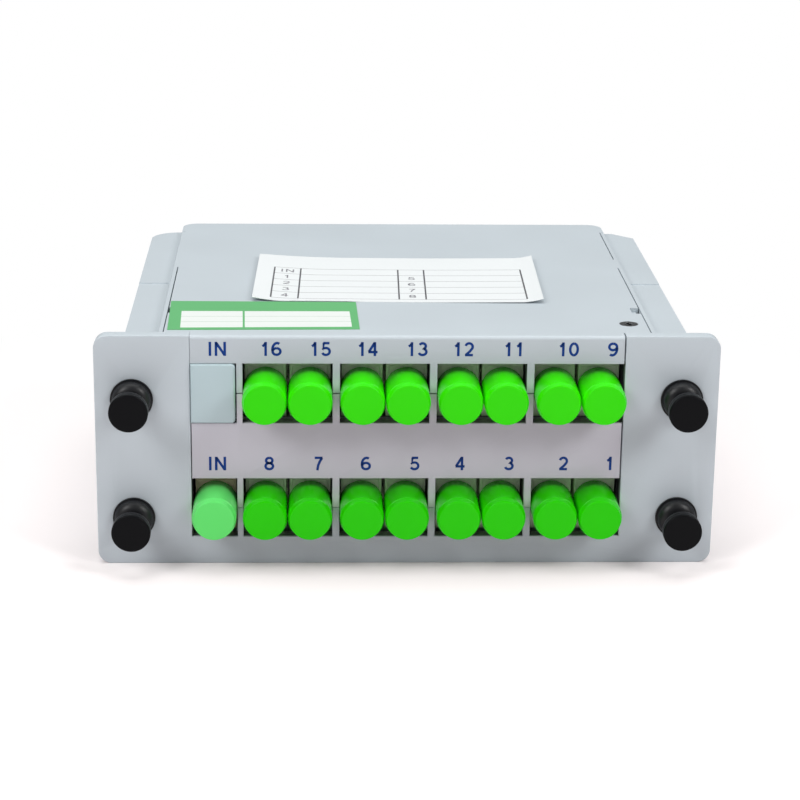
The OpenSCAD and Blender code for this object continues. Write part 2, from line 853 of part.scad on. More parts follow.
module splitter_chip() {
    w = chip_w - 2 * tube_wall - 2 * fit;
    h = chip_h - 2 * tube_wall - 2 * fit;
    color("lightblue") translate([0, chip_y, chip_z]) run_x(-chip_l / 2, chip_l / 2)
        round_rect(w, h, tube_edge_r - tube_wall / 2);
}

// The block where the ribbon fans out into jacketed fibres
module fan_out_block() {
    color(fastener_black) translate([0, block_y + block_l / 2, floor_t])
        linear_extrude(block_h) round_rect(block_w, block_l, block_edge_r);
}

// Rings along a path, joined into one tube
function unit(v) = v / norm(v);
function heading(p, i) =
    unit(i == 0 ? p[1] - p[0] : i == len(p) - 1 ? p[i] - p[i - 1] : p[i + 1] - p[i - 1]);
function across(t) = unit(cross(t, abs(t[2]) > 0.9 ? [1, 0, 0] : [0, 0, 1]));
function ring(c, t, half_w, half_h, sides) =
    let (u = across(t), v = cross(u, t))
    [for (s = [0:sides - 1])
        let (a = 360 * (s + 0.5) / sides)
        c + half_w * cos(a) * u + half_h * sin(a) * v];
module tube_along(path, half_w, half_h, sides) {
    rings = [for (i = [0:len(path) - 1]) each ring(path[i], heading(path, i), half_w, half_h, sides)];
    last = len(path) - 1;
    polyhedron(
        points = rings,
        faces = concat(
            [[for (s = [0:sides - 1]) s]],
            [for (i = [0:last - 1], s = [0:sides - 1])
                let (a = i * sides + s, b = i * sides + (s + 1) % sides)
                [a, a + sides, b + sides, b]],
            [[for (s = [0:sides - 1]) last * sides + sides - 1 - s]]
        )
    );
}

// A smooth path through chosen points
function spline(a, b, c, d, t) =
    0.5 * (2 * b + (c - a) * t + (2 * a - 5 * b + 4 * c - d) * t * t
        + (3 * b - a - 3 * c + d) * t * t * t);
function smooth(p, steps) = concat(
    [for (i = [0:len(p) - 2], s = [0:steps - 1])
        spline(p[max(i - 1, 0)], p[i], p[i + 1], p[min(i + 2, len(p) - 1)], s / steps)],
    [p[len(p) - 1]]);

// The sixteen output fibres swing from the block to their boots in S curves
function fan_point(from, to, t) =
    let (s = t * t * (3 - 2 * t))
    [from[0] + (to[0] - from[0]) * s, from[1] + (to[1] - from[1]) * t, from[2] + (to[2] - from[2]) * s];
module output_fibres() {
    color(jacket_white) for (n = [1:OUTPUTS]) {
        k = out_column(n);
        row = n > COLUMNS ? 1 : 0;
        from = [(k - (COLUMNS + 1) / 2) * fan_pitch, block_y, floor_t + block_h * outlet_shares[row]];
        to = [column_x(k), boot_end, out_z(n)];
        tube_along([for (i = [0:FAN_STEPS]) fan_point(from, to, i / FAN_STEPS)],
            fibre_r, fibre_r, FIBRE_SIDES);
    }
}

module input_fibre() {
    from = [column_x(0), boot_end, low_z];
    way = [-chip_l / 2, chip_y, chip_z] - from;
    path = [for (p = input_shares) from + [p[0] * way[0], p[1] * way[1], p[2] * way[2]]];
    color(jacket_white) tube_along(smooth(path, INPUT_STEPS), fibre_r, fibre_r, FIBRE_SIDES);
}

// The bare ribbon loops along the floor from the chip to the fan-out block
module fibre_ribbon() {
    out = [chip_l / 2, chip_y, chip_z];
    in = [0, block_end, ribbon_z];
    loop_end = block_end + (back_y - wall_t - block_end) * loop_share;
    way_y = loop_end - chip_y;
    loop = [for (p = ribbon_shares) [p[0] * ribbon_reach, chip_y + p[1] * way_y, ribbon_z]];
    color("tomato") tube_along(smooth(concat([out], loop, [in]), RIBBON_STEPS),
        ribbon_half_w, ribbon_half_h, FIBRE_SIDES);
}

base();
top_cover();
mid_shelf();
blank_plug();
cover_screws();
adapter_in();
for (n = [1:OUTPUTS]) output_adapter(n);
cap_in();
for (n = [1:OUTPUTS]) output_cap(n);
for (n = [1:4]) grommet(n);
for (n = [1:4]) plunger(n);
paper_label();
green_label();
alignment_sleeves();
ferrules();
rear_plugs();
rear_boots();
chip_tube();
splitter_chip();
fan_out_block();
output_fibres();
input_fibre();
fibre_ribbon();
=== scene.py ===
from math import cos, pi, radians, sin

import bmesh
import bpy
from mathutils import Matrix, Vector


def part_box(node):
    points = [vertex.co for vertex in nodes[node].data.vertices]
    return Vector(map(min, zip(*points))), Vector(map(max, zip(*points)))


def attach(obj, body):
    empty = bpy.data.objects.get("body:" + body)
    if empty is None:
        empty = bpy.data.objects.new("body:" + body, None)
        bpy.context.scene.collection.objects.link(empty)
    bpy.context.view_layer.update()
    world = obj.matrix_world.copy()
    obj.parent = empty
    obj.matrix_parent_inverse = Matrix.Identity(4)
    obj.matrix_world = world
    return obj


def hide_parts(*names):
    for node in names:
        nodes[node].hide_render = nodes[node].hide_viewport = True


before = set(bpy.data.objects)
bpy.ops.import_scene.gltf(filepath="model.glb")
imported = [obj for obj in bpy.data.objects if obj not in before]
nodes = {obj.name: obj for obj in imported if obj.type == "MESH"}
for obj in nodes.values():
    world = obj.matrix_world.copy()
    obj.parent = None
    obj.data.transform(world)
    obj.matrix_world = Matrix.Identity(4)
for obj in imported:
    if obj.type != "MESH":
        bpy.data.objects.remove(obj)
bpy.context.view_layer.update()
scene = bpy.context.scene

# The case stands on a white table and is photographed from the front with a long lens, from a
# little above and a little to its left. The camera's place was solved from the front panel.
CAMERA_PLACE = (-0.0198, -0.4611, 0.1792)
CAMERA_LENS = 103.87
CAMERA_YAW = radians(-2.27)
CAMERA_PITCH = radians(-17.32)
CAMERA_ROLL = radians(-0.72)

camera = bpy.data.objects.new("camera", bpy.data.cameras.new("camera"))
camera.data.lens = CAMERA_LENS
camera.data.sensor_width = 36
camera.matrix_world = (
    Matrix.Translation(CAMERA_PLACE)
    @ Matrix.Rotation(CAMERA_YAW, 4, "Z")
    @ Matrix.Rotation(CAMERA_PITCH, 4, "X")
    @ Matrix.Rotation(CAMERA_ROLL, 4, "Y")
    @ Matrix.Rotation(pi / 2, 4, "X")
)
scene.collection.objects.link(camera)
scene.camera = camera
scene.view_settings.view_transform = "Standard"

# Two softboxes hang in front of the case, the left one the stronger, and a large one above it.
# The world fills the shadows and shows white, also in what mirrors it.
SOFTBOXES = {
    "left_softbox": ((-0.75, -0.55, 0.80), (0.55, 0.55), 6.3),
    "right_softbox": ((0.80, -0.50, 0.75), (0.45, 0.45), 5.8),
    "top_softbox": ((0.00, 0.15, 1.10), (1.10, 0.90), 7.6),
}
FILL_STRENGTH = 0.285
LAMPS_AIM = (0, 0.03, 0.02)

for name, (place, size, power) in SOFTBOXES.items():
    lamp = bpy.data.objects.new(name, bpy.data.lights.new(name, "AREA"))
    lamp.data.shape = "RECTANGLE"
    lamp.data.size, lamp.data.size_y = size
    lamp.data.energy = power
    lamp.location = place
    lamp.rotation_euler = (Vector(LAMPS_AIM) - Vector(place)).to_track_quat("-Z", "Y").to_euler()
    scene.collection.objects.link(lamp)

world = bpy.data.worlds.new("studio")
scene.world = world
world.use_nodes = True
sky = world.node_tree
sky.nodes.clear()
rays = sky.nodes.new("ShaderNodeLightPath")
seen = sky.nodes.new("ShaderNodeMath")
seen.operation = "MAXIMUM"
sky.links.new(rays.outputs["Is Camera Ray"], seen.inputs[0])
sky.links.new(rays.outputs["Is Transmission Ray"], seen.inputs[1])
strength = sky.nodes.new("ShaderNodeMapRange")
strength.inputs["To Min"].default_value = FILL_STRENGTH
strength.inputs["To Max"].default_value = 1.0
sky.links.new(seen.outputs[0], strength.inputs["Value"])
white = sky.nodes.new("ShaderNodeBackground")
white.inputs["Color"].default_value = (1, 1, 1, 1)
sky.links.new(strength.outputs["Result"], white.inputs["Strength"])
sky.links.new(white.outputs[0], sky.nodes.new("ShaderNodeOutputWorld").inputs["Surface"])


# The table is white and matt. Close to the case it takes the soft shadow, and further off it
# fades into the plain white of the background, for the camera and in what lets light through.
TABLE_SIZE = 6.0
TABLE_BOUNCE = (0.80, 0.74, 0.75)
# Near the case, the table's colour as the camera sees it is a little pink: a painted tint of the shadow
# there, as full light clips it to white. Light bouncing off the table takes a painted pinkish grey.
TABLE_SEEN_SHADE_TINT = (0.998, 0.945, 0.94)
SHADOW_NEAR = 0.085
SHADOW_FAR = 0.20

table_mesh = bpy.data.meshes.new("table")
half = TABLE_SIZE / 2
table_corners = [(-half, -half, 0), (half, -half, 0), (half, half, 0), (-half, half, 0)]
table_mesh.from_pydata(table_corners, [], [(0, 1, 2, 3)])
table = bpy.data.objects.new("table", table_mesh)
scene.collection.objects.link(table)
table_white = bpy.data.materials.new("table_white")
table_white.use_nodes = True
table_tree = table_white.node_tree
table_tree.nodes.clear()
rays = table_tree.nodes.new("ShaderNodeLightPath")
shade = table_tree.nodes.new("ShaderNodeMix")
shade.data_type = "RGBA"
shade.inputs["A"].default_value = (*TABLE_BOUNCE, 1)
shade.inputs["B"].default_value = (*TABLE_SEEN_SHADE_TINT, 1)
table_tree.links.new(rays.outputs["Is Camera Ray"], shade.inputs["Factor"])
paint = table_tree.nodes.new("ShaderNodeBsdfDiffuse")
table_tree.links.new(shade.outputs["Result"], paint.inputs["Color"])
reach = table_tree.nodes.new("ShaderNodeVectorMath")
reach.operation = "LENGTH"
table_tree.links.new(table_tree.nodes.new("ShaderNodeTexCoord").outputs["Object"], reach.inputs[0])
away = table_tree.nodes.new("ShaderNodeMapRange")
away.interpolation_type = "SMOOTHSTEP"
away.inputs["From Min"].default_value = SHADOW_NEAR
away.inputs["From Max"].default_value = SHADOW_FAR
table_tree.links.new(reach.outputs["Value"], away.inputs["Value"])
mirrored = table_tree.nodes.new("ShaderNodeMath")
mirrored.operation = "MAXIMUM"
table_tree.links.new(rays.outputs["Is Camera Ray"], mirrored.inputs[0])
table_tree.links.new(rays.outputs["Is Transmission Ray"], mirrored.inputs[1])
open_floor = table_tree.nodes.new("ShaderNodeMath")
open_floor.operation = "MULTIPLY"
table_tree.links.new(away.outputs["Result"], open_floor.inputs[0])
table_tree.links.new(mirrored.outputs[0], open_floor.inputs[1])
plain_white = table_tree.nodes.new("ShaderNodeEmission")
plain_white.inputs["Color"].default_value = (1, 1, 1, 1)
plain_white.inputs["Strength"].default_value = 1.0
blend = table_tree.nodes.new("ShaderNodeMixShader")
table_tree.links.new(open_floor.outputs[0], blend.inputs["Fac"])
table_tree.links.new(paint.outputs[0], blend.inputs[1])
table_tree.links.new(plain_white.outputs[0], blend.inputs[2])
table_tree.links.new(blend.outputs[0], table_tree.nodes.new("ShaderNodeOutputMaterial").inputs["Surface"])
table_mesh.materials.append(table_white)


# The tray is one moulding in light grey ABS: floor, walls, sill, ears and guide wings. The cover
# with its lip and the shelf with its bar are mouldings of the same plastic. The moulds were finely
# textured, and the front edges are rounded a little.
MM = 0.001
PANEL_Y = -3.0
PANEL_H = 50.0
SHELL_GREY = (0.51, 0.568, 0.605)
# The shelf's grey is the same plastic's grey with painted light in it: tinted pink and made a little
# lighter, against the green light from the caps and the shade beneath them.
SHELF_GREY_PAINTED_LIGHT = (0.555, 0.55, 0.605)
SHELL_ROUGHNESS = 0.42
MOULD_GRAIN = 0.00022
MOULD_DEPTH = 0.000012
TONE_SCALE = 45
GLOSS_SPREAD = 0.05
SAME_PLACE = 1e-6
FACET_ANGLE = radians(0.5)
ROUNDED_ANGLE = radians(50)
SMOOTH_ANGLE = radians(32)
EDGE_STEPS = 3
PANEL_EDGE_R = 0.3
THIN_EDGE_R = 0.12
FACE_DEPTH = 0.1
PORTS_MIDDLE_Z = 25.05
PORT_ROW_OFF = 12.57
PORT_ROW_HALF_H = 6.7
PORT_ROW_HALF_W = 47.5
PORTS_END_Y = 30.0
# Painted shade inside the ports: behind the panel face, the walls' colour fades to a quarter of its own.
PORT_SHADE_FROM = 0.15
PORT_SHADE_TO = 0.9
PORT_SHADE = 0.25


def moulded_plastic(name, colour, roughness, grain=MOULD_GRAIN, depth=MOULD_DEPTH, tone=0.04, specular=0.5):
    """Textured plastic: a fine grain from the mould, with faint changes of tone and of gloss."""
    material = bpy.data.materials.new(name)
    material.use_nodes = True
    tree = material.node_tree
    link = tree.links.new
    shader = tree.nodes["Principled BSDF"]
    shader.inputs["Specular IOR Level"].default_value = specular
    place = tree.nodes.new("ShaderNodeTexCoord").outputs["Object"]
    cloud = tree.nodes.new("ShaderNodeTexNoise")
    cloud.inputs["Scale"].default_value = TONE_SCALE
    cloud.inputs["Detail"].default_value = 3
    link(place, cloud.inputs["Vector"])
    shade = tree.nodes.new("ShaderNodeMix")
    shade.data_type = "RGBA"
    shade.inputs["A"].default_value = (*[c * (1 - tone) for c in colour], 1)
    shade.inputs["B"].default_value = (*[min(c * (1 + tone), 1) for c in colour], 1)
    link(cloud.outputs["Fac"], shade.inputs["Factor"])
    link(shade.outputs["Result"], shader.inputs["Base Color"])
    gloss = tree.nodes.new("ShaderNodeMapRange")
    gloss.inputs["To Min"].default_value = roughness - GLOSS_SPREAD
    gloss.inputs["To Max"].default_value = roughness + GLOSS_SPREAD
    link(cloud.outputs["Fac"], gloss.inputs["Value"])
    link(gloss.outputs["Result"], shader.inputs["Roughness"])
    texture = tree.nodes.new("ShaderNodeTexNoise")
    texture.inputs["Scale"].default_value = 1 / grain
    texture.inputs["Detail"].default_value = 2
    link(place, texture.inputs["Vector"])
    bump = tree.nodes.new("ShaderNodeBump")
    bump.inputs["Distance"].default_value = depth
    bump.inputs["Strength"].default_value = 1
    link(texture.outputs["Fac"], bump.inputs["Height"])
    link(bump.outputs["Normal"], shader.inputs["Normal"])
    return material


def softened(node, material, roundings):
    """A copy of a CAD node whose edges, chosen by rule, have a mould's small radius (in mm)."""
    mesh = nodes[node].data.copy()
    mesh.name = node + "_moulding"
    work = bmesh.new()
    work.from_mesh(mesh)
    bmesh.ops.remove_doubles(work, verts=work.verts, dist=SAME_PLACE)
    bmesh.ops.dissolve_limit(
        work, angle_limit=FACET_ANGLE, use_dissolve_boundaries=False, verts=work.verts, edges=work.edges
    )
    for radius, rounded in roundings:
        edges = [
            e
            for e in work.edges
            if len(e.link_faces) == 2
            and e.calc_face_angle(0) > ROUNDED_ANGLE
            and rounded(e.verts[0].co / MM, e.verts[1].co / MM)
        ]
        bmesh.ops.bevel(
            work, geom=edges, offset=radius * MM, offset_type="OFFSET", segments=EDGE_STEPS, profile=0.5,
            affect="EDGES", clamp_overlap=True
        )
    for f in work.faces:
        f.smooth = True
    for e in work.edges:
        e.smooth = len(e.link_faces) == 2 and e.calc_face_angle(0) < SMOOTH_ANGLE
    work.to_mesh(mesh)
    work.free()
    mesh.materials.clear()
    mesh.materials.append(material)
    piece = bpy.data.objects.new(node + "_moulding", mesh)
    scene.collection.objects.link(piece)
    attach(piece, "case")
    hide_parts(node)
    return piece


def on_panel_face(a, b):
    """True for an edge that lies in the panel's front face."""
    return max(a.y, b.y) < PANEL_Y + FACE_DEPTH


def painted_port_shade(material):
    """Paints shade into the colour of the walls inside the two rows of ports, where little light reaches."""
    tree = material.node_tree
    shader = tree.nodes["Principled BSDF"]
    shown = shader.inputs["Base Color"].links[0].from_socket
    apart = tree.nodes.new("ShaderNodeSeparateXYZ")
    tree.links.new(tree.nodes.new("ShaderNodeTexCoord").outputs["Object"], apart.inputs[0])

    def step(operation, a, b=None):
        node = tree.nodes.new("ShaderNodeMath")
        node.operation = operation
        for socket, value in zip(node.inputs, (a, b)):
            if isinstance(value, float):
                socket.default_value = value
            elif value is not None:
                tree.links.new(value, socket)
        return node.outputs[0]

    x, y, z = (apart.outputs[axis] for axis in "XYZ")
    from_middle = step("ABSOLUTE", step("SUBTRACT", z, PORTS_MIDDLE_Z * MM))
    from_row = step("ABSOLUTE", step("SUBTRACT", from_middle, PORT_ROW_OFF * MM))
    inside = step("LESS_THAN", from_row, PORT_ROW_HALF_H * MM)
    inside = step("MULTIPLY", inside, step("LESS_THAN", step("ABSOLUTE", x), PORT_ROW_HALF_W * MM))
    inside = step("MULTIPLY", inside, step("LESS_THAN", y, PORTS_END_Y * MM))
    entry = tree.nodes.new("ShaderNodeMapRange")
    entry.interpolation_type = "SMOOTHSTEP"
    entry.inputs["From Min"].default_value = (PANEL_Y + PORT_SHADE_FROM) * MM
    entry.inputs["From Max"].default_value = (PANEL_Y + PORT_SHADE_TO) * MM
    tree.links.new(y, entry.inputs["Value"])
    inside = step("MULTIPLY", inside, entry.outputs["Result"])
    dark = tree.nodes.new("ShaderNodeMix")
    dark.data_type = "RGBA"
    dark.blend_type = "MULTIPLY"
    tree.links.new(inside, dark.inputs["Factor"])
    tree.links.new(shown, dark.inputs["A"])
    dark.inputs["B"].default_value = (PORT_SHADE, PORT_SHADE, PORT_SHADE, 1)
    tree.links.new(dark.outputs["Result"], shader.inputs["Base Color"])


shell_grey = moulded_plastic("shell_grey", SHELL_GREY, SHELL_ROUGHNESS)
shelf_grey_painted_light = moulded_plastic("shelf_grey_painted_light", SHELF_GREY_PAINTED_LIGHT, SHELL_ROUGHNESS)
for plastic in (shell_grey, shelf_grey_painted_light):
    painted_port_shade(plastic)
for node, plastic, radius in (
    ("base", shell_grey, PANEL_EDGE_R),
    ("top_cover", shell_grey, THIN_EDGE_R),
    ("mid_shelf", shelf_grey_painted_light, THIN_EDGE_R),
):
    softened(node, plastic, [(radius, on_panel_face)])


# The blank snaps into the place above the input. It stands half a millimetre proud of the panel,
# in a plastic that is a little cooler in tone, and the edges of its face are well rounded.
BLANK_GREY = (0.46, 0.58, 0.61)
BLANK_ROUGHNESS = 0.38
BLANK_EDGE_R = 0.4
BLANK_FACE_Y = PANEL_Y - 0.4


def on_blank_face(a, b):
    """True for an edge that lies in the blank's front face."""
    return max(a.y, b.y) < BLANK_FACE_Y


blank_grey = moulded_plastic("blank_grey", BLANK_GREY, BLANK_ROUGHNESS)
softened("blank_plug", blank_grey, [(BLANK_EDGE_R, on_blank_face)])


# The splitter chip lies in its drawn steel tube on the floor. The bare ribbon leaves it in a loop,
# and the fan-out block divides it into sixteen white jacketed fibres. Green plugs with white boots
# sit in the adapters' backs, and their ferrules meet in white ceramic sleeves.
for name, colour, roughness, pieces in (
    ("tube_steel", (0.55, 0.56, 0.58), 0.30, ["chip_tube"]),
    ("chip_glass", (0.45, 0.60, 0.68), 0.25, ["splitter_chip"]),
    ("white_jacket", (0.82, 0.82, 0.78), 0.45, ["output_fibres", "input_fibre", "rear_boots"]),
    ("ribbon_coating", (0.75, 0.25, 0.12), 0.40, ["fibre_ribbon"]),
    ("block_black", (0.02, 0.02, 0.022), 0.45, ["fan_out_block"]),
    ("plug_green", (0.03, 0.26, 0.05), 0.40, ["rear_plugs"]),
    ("zirconia", (0.88, 0.88, 0.84), 0.15, ["alignment_sleeves", "ferrules"]),
):
    finish = moulded_plastic(name, colour, roughness)
    if name == "tube_steel":
        finish.node_tree.nodes["Principled BSDF"].inputs["Metallic"].default_value = 1.0
    for node in pieces:
        nodes[node].data.materials.clear()
        nodes[node].data.materials.append(finish)


# The adapters are pale grey mouldings held by their collars in the grooves, and the one for the
# input is beige. The mouth of each has softened edges, and the mould left a thin rib above it.
ADAPTER_FACE_Y = 2.0
# The adapters' grey is painted light: much lighter and greener than the plastic, for the green light the
# caps throw into the ports and against the shade there.
ADAPTER_GREY_GREEN_LIT = (0.80, 0.97, 0.70)
ADAPTER_BEIGE = (0.88, 0.80, 0.54)
ADAPTER_ROUGHNESS = 0.40
MOUTH_EDGE_R = 0.06
MOUTH_DEPTH = 0.01
RIB_W = 0.25
RIB_OUT = 0.12
RIB_H = 1.7
RIB_SUNK = 0.01
RIB_BELOW = 0.1
PORT_H = 12.95


def on_mouth(a, b):
    """True for an edge that lies in an adapter's front face."""
    return all(abs(end.y - ADAPTER_FACE_Y) < MOUTH_DEPTH for end in (a, b))


adapter_grey = moulded_plastic("adapter_grey", ADAPTER_GREY_GREEN_LIT, ADAPTER_ROUGHNESS)
adapter_beige = moulded_plastic("adapter_beige", ADAPTER_BEIGE, ADAPTER_ROUGHNESS)
port_places = {}
for node in nodes:
    if node.startswith("adapter_"):
        plastic = adapter_beige if node == "adapter_in" else adapter_grey
        adapter = softened(node, plastic, [(MOUTH_EDGE_R, on_mouth)])
        low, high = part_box(node)
        port_places[node[8:]] = ((low[0] + high[0]) / 2, (low[2] + high[2]) / 2)


def tree_inputs(tree, inputs):
    """Adds the named inputs, and gives each one's identifier."""
    for label, kind, value in inputs:
        socket = tree.interface.new_socket(name=label, in_out="INPUT", socket_type=kind)
        if value is not None:
            socket.default_value = value
    tree.interface.new_socket(name="Piece", in_out="OUTPUT", socket_type="NodeSocketGeometry")
    return {s.name: s.identifier for s in tree.interface.items_tree if s.in_out == "INPUT"}


def finish_tree(tree, given, made):
    """Ends a tree: what it made becomes real geometry, in its finish."""
    real = tree.nodes.new("GeometryNodeRealizeInstances")
    tree.links.new(made, real.inputs["Geometry"])
    finished = tree.nodes.new("GeometryNodeSetMaterial")
    tree.links.new(real.outputs["Geometry"], finished.inputs["Geometry"])
    tree.links.new(given.outputs["Finish"], finished.inputs["Material"])
    tree.links.new(finished.outputs["Geometry"], tree.nodes.new("NodeGroupOutput").inputs["Piece"])


def grown(name, mesh, tree, keys, settings):
    """Runs a tree on a mesh and leaves the result as a plain mesh."""
    host = bpy.data.objects.new(name, mesh)
    scene.collection.objects.link(host)
    modifier = host.modifiers.new("shape", "NODES")
    modifier.node_group = tree
    for label, value in settings.items():
        modifier[keys[label]] = value
    host.update_tag()
    depsgraph = bpy.context.evaluated_depsgraph_get()
    made = bpy.data.meshes.new_from_object(host.evaluated_get(depsgraph), depsgraph=depsgraph)
    host.modifiers.clear()
    host.data = made
    return host


rib_tree = bpy.data.node_groups.new("mould_ribs", "GeometryNodeTree")
rib_keys = tree_inputs(
    rib_tree,
    [
        ("Places", "NodeSocketGeometry", None),
        ("Size", "NodeSocketVector", (RIB_W * MM, RIB_OUT * MM, RIB_H * MM)),
        ("Finish", "NodeSocketMaterial", None),
    ],
)
link = rib_tree.links.new
given = rib_tree.nodes.new("NodeGroupInput")
bar = rib_tree.nodes.new("GeometryNodeMeshCube")
on_places = rib_tree.nodes.new("GeometryNodeInstanceOnPoints")
link(given.outputs["Size"], bar.inputs["Size"])
link(given.outputs["Places"], on_places.inputs["Points"])
link(bar.outputs["Mesh"], on_places.inputs["Instance"])
finish_tree(rib_tree, given, on_places.outputs["Instances"])

rib_y = (ADAPTER_FACE_Y - RIB_OUT / 2 + RIB_SUNK) * MM
rib_up = (PORT_H / 2 - RIB_H / 2 - RIB_BELOW) * MM
rib_places = [(x, rib_y, z + rib_up) for key, (x, z) in port_places.items() if key != "in"]
rib_points = bpy.data.meshes.new("rib_places")
rib_points.from_pydata(rib_places, [], [])
ribs = grown("mould_ribs", rib_points, rib_tree, rib_keys, {"Finish": adapter_grey})
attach(ribs, "case")


# Each port is closed by a dust cap of soft bright green plastic, the input by a paler one. A cap is
# a round hollow moulding: a head that tapers from a fine step to its flat face, and a tubular stem
# with a pale square neck that fills the mouth of the port.
CAP_R = 4.61
CAP_FRONT = -10.8
CAP_BACK = 1.9
CAP_FACE_R = 4.27
CAP_EDGE_R = 0.25
CAP_STEP = 1.45
CAP_STEP_R = 4.52
CAP_STEP_TAPER = (0.02, 0.15)
CAP_STEP_W = 0.08
CAP_RIM_W = 0.3
CAP_BACK_R = 0.5
CAP_STEM_R = 3.5
CAP_STEM_END = 10.4
CAP_STEM_CHAMFER = 0.3
CAP_BORE_R = 2.55
CAP_BORE_END = -9.2
GATE_R = 0.4
GATE_OUT = 0.06
GATE_PLACE = (0.55, -0.75)
GATE_SIDES = 24
CAP_GREEN = (0.036, 0.71, 0.0008)
# The lower row's caps take a darker copy of the same green: painted shade, as less light falls on that row.
CAP_GREEN_SHADED = (0.022, 0.59, 0.0005)
CAP_PALE = (0.125, 0.74, 0.155)
# Painted light: the colour a cap gives to light bouncing off it, a bright green glow within a few mm and a
# dull grey further off, in place of its own green.
CAP_BOUNCE = (0.25, 0.32, 0.23)
CAP_GLOW = (0.40, 1.0, 0.30)
CAP_GLOW_REACH = (1.5, 4.0)
CAP_ROUGHNESS = 0.22
CAP_TONE = 0.06
CAP_SPECULAR = 0.12
CAP_SAG = 0.15
NECK_SIZE = (7.36, 2.0, 8.96)
NECK_OUT = 0.02
LATHE_R = 0.02
LATHE_STEPS = 96
LATHE_SHARP = radians(40)

turned_tree = bpy.data.node_groups.new("turned_part", "GeometryNodeTree")
turned_keys = tree_inputs(
    turned_tree,
    [
        ("Profile", "NodeSocketGeometry", None),
        ("Steps", "NodeSocketInt", LATHE_STEPS),
        ("Sharp Angle", "NodeSocketFloat", LATHE_SHARP),
        ("Place", "NodeSocketVector", (0, 0, 0)),
        ("Gate Place", "NodeSocketVector", (0, 0, 0)),
        ("Gate Radius", "NodeSocketFloat", GATE_R * MM),
        ("Gate Height", "NodeSocketFloat", GATE_OUT * MM),
        ("Finish", "NodeSocketMaterial", None),
    ],
)
link = turned_tree.links.new
add = turned_tree.nodes.new
given = add("NodeGroupInput")
shift = add("GeometryNodeTransform")
shift.inputs["Translation"].default_value = (-LATHE_R, 0, 0)
link(given.outputs["Profile"], shift.inputs["Geometry"])
outline = add("GeometryNodeMeshToCurve")
link(shift.outputs["Geometry"], outline.inputs["Mesh"])
circle = add("GeometryNodeCurvePrimitiveCircle")
circle.mode = "RADIUS"
circle.inputs["Radius"].default_value = LATHE_R
link(given.outputs["Steps"], circle.inputs["Resolution"])
lathe = add("GeometryNodeCurveToMesh")
link(circle.outputs["Curve"], lathe.inputs["Curve"])
link(outline.outputs["Curve"], lathe.inputs["Profile Curve"])
merged = add("GeometryNodeMergeByDistance")
merged.inputs["Distance"].default_value = SAME_PLACE
link(lathe.outputs["Mesh"], merged.inputs["Geometry"])
gate = add("GeometryNodeMeshCylinder")
gate.inputs["Vertices"].default_value = GATE_SIDES
link(given.outputs["Gate Radius"], gate.inputs["Radius"])
link(given.outputs["Gate Height"], gate.inputs["Depth"])
set_gate = add("GeometryNodeTransform")
link(gate.outputs["Mesh"], set_gate.inputs["Geometry"])
link(given.outputs["Gate Place"], set_gate.inputs["Translation"])
both = add("GeometryNodeJoinGeometry")
link(merged.outputs["Geometry"], both.inputs["Geometry"])
link(set_gate.outputs["Geometry"], both.inputs["Geometry"])
fold = add("GeometryNodeInputMeshEdgeAngle")
soft = add("FunctionNodeCompare")
soft.data_type = "FLOAT"
soft.operation = "LESS_THAN"
link(fold.outputs["Unsigned Angle"], soft.inputs["A"])
link(given.outputs["Sharp Angle"], soft.inputs["B"])
smooth_faces = add("GeometryNodeSetShadeSmooth")
smooth_faces.domain = "FACE"
link(both.outputs["Geometry"], smooth_faces.inputs["Geometry"])
smooth_edges = add("GeometryNodeSetShadeSmooth")
smooth_edges.domain = "EDGE"
link(smooth_faces.outputs["Geometry"], smooth_edges.inputs["Geometry"])
link(soft.outputs["Result"], smooth_edges.inputs["Shade Smooth"])
stand = add("GeometryNodeTransform")
stand.inputs["Rotation"].default_value = (pi / 2, 0, 0)
link(smooth_edges.outputs["Geometry"], stand.inputs["Geometry"])
link(given.outputs["Place"], stand.inputs["Translation"])
finish_tree(turned_tree, given, stand.outputs["Geometry"])


def profile_mesh(name, points):
    """A profile of radius and reach in mm, as a chain of edges."""
    mesh = bpy.data.meshes.new(name)
    chain = [(i, i + 1) for i in range(len(points) - 1)]
    mesh.from_pydata([(r * MM, y * MM, 0) for r, y in points], chain, [])
    return mesh


def quarter(r, y, radius, start, steps=6):
    """A quarter of a circle in a profile, about (r, y), from an angle to ninety degrees on."""
    turns = [radians(start + 90 * i / steps) for i in range(steps + 1)]
    return [(r + radius * cos(a), y + radius * sin(a)) for a in turns]


cap_profile = [(0, CAP_FRONT), (CAP_R / 2, CAP_FRONT)]
cap_profile += quarter(CAP_FACE_R - CAP_EDGE_R, CAP_FRONT + CAP_EDGE_R, CAP_EDGE_R, -90)
step_y = CAP_FRONT + CAP_STEP
cap_profile += [(CAP_STEP_R - CAP_STEP_TAPER[0], step_y - CAP_STEP_TAPER[1]), (CAP_STEP_R, step_y)]
cap_profile += [(CAP_R, step_y + CAP_STEP_W), (CAP_R, step_y + CAP_RIM_W)]
cap_profile += quarter(CAP_R - CAP_BACK_R, CAP_BACK - CAP_BACK_R, CAP_BACK_R, 0)
cap_profile += [(CAP_STEM_R, CAP_BACK), (CAP_STEM_R, CAP_STEM_END - CAP_STEM_CHAMFER)]
cap_profile += [(CAP_STEM_R - CAP_STEM_CHAMFER, CAP_STEM_END), (CAP_BORE_R, CAP_STEM_END)]
cap_profile += [(CAP_BORE_R, CAP_BORE_END), (0, CAP_BORE_END)]


